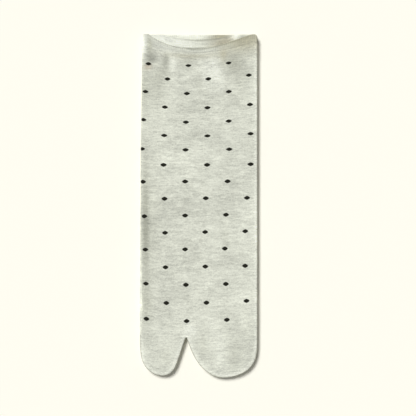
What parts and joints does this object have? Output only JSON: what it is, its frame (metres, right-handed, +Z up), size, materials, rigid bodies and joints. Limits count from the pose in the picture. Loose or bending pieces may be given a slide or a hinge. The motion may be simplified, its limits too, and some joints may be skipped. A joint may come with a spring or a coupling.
{
  "type": "pair of tabi socks",
  "caption": "Pair of split-toe knitted socks lying flat, one squarely on the other, with open ribbed cuffs and small dark dots on a pale ground.",
  "frame": {"origin": "on the surface that the pair lies on, under the middle of its outline", "axes": "+Y from the toes to the cuffs, +X from the big toe to the four-toe side, +Z up from the surface"},
  "size_m": [0.0928, 0.27, 0.0119],
  "materials": {
    "knit": "matte jersey knit"
  },
  "bodies": {
    "root": {"sock_under": "knit", "sock_upper": "knit"}
  },
  "joints": []
}
